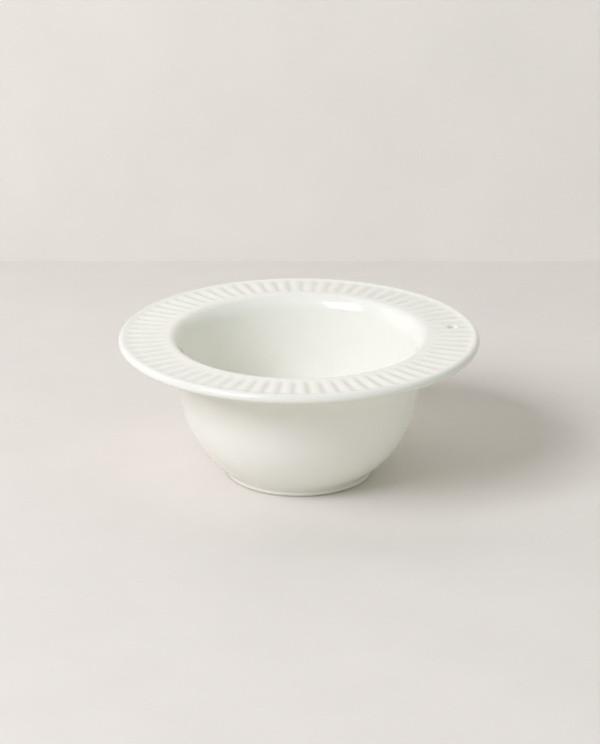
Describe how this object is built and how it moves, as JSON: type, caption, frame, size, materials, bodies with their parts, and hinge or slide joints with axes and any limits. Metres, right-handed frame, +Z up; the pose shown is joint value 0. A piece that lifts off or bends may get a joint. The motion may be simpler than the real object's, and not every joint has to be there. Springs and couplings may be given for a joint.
{
  "type": "shaving bowl",
  "caption": "White glazed porcelain bowl with a wide flat fluted rim, a rounded lip, a deep well, a foot ring and a small hanging hole, for working up shaving lather.",
  "frame": {"origin": "centre of the foot ring's underside, on the surface the bowl stands on", "axes": "+Z up along the bowl's axis, +X towards the hanging hole in the rim"},
  "size_m": [0.16, 0.16, 0.065],
  "materials": {
    "biscuit": "fired porcelain biscuit, ground matt where the foot ring is bare",
    "glaze": "clear glossy glaze over white porcelain, very slightly warm and pooled in the grooves"
  },
  "bodies": {
    "root": {"porcelain_body": "biscuit", "glaze_coat": "glaze", "base_glaze": "glaze"}
  },
  "joints": []
}
